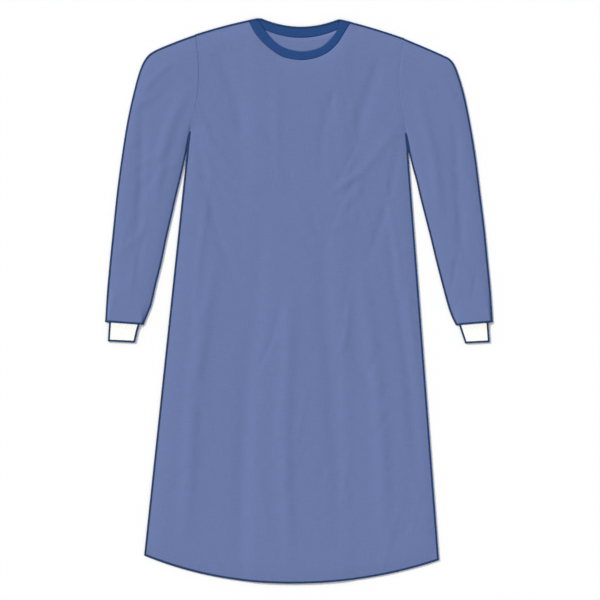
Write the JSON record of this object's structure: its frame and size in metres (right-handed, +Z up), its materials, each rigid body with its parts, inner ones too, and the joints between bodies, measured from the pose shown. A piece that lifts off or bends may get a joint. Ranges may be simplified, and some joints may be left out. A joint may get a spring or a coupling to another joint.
{
  "type": "surgical gown",
  "caption": "Long-sleeved surgical gown laid flat with its front up: A-line body, wrap back, round neck with a contrast band and rib-knit cuffs.",
  "frame": {"origin": "centre of the gown's plan, on the surface that it lies on", "axes": "+Y from hem to neck, +Z up out of the front, +X towards the wearer's left sleeve"},
  "size_m": [0.873, 1.271, 0.0078],
  "materials": {
    "body_cloth": "matt plain-woven polyester and cotton, slate blue",
    "neck_band_cloth": "matt woven binding, dark blue",
    "cuff_knit": "matt rib knit, white"
  },
  "bodies": {
    "root": {"front": "body_cloth", "back_right": "body_cloth", "back_left": "body_cloth", "sleeve_right": "body_cloth", "sleeve_left": "body_cloth", "cuff_right": "cuff_knit", "cuff_left": "cuff_knit", "neck_band_front": "neck_band_cloth", "neck_band_back_right": "neck_band_cloth", "neck_band_back_left": "neck_band_cloth"}
  },
  "joints": []
}
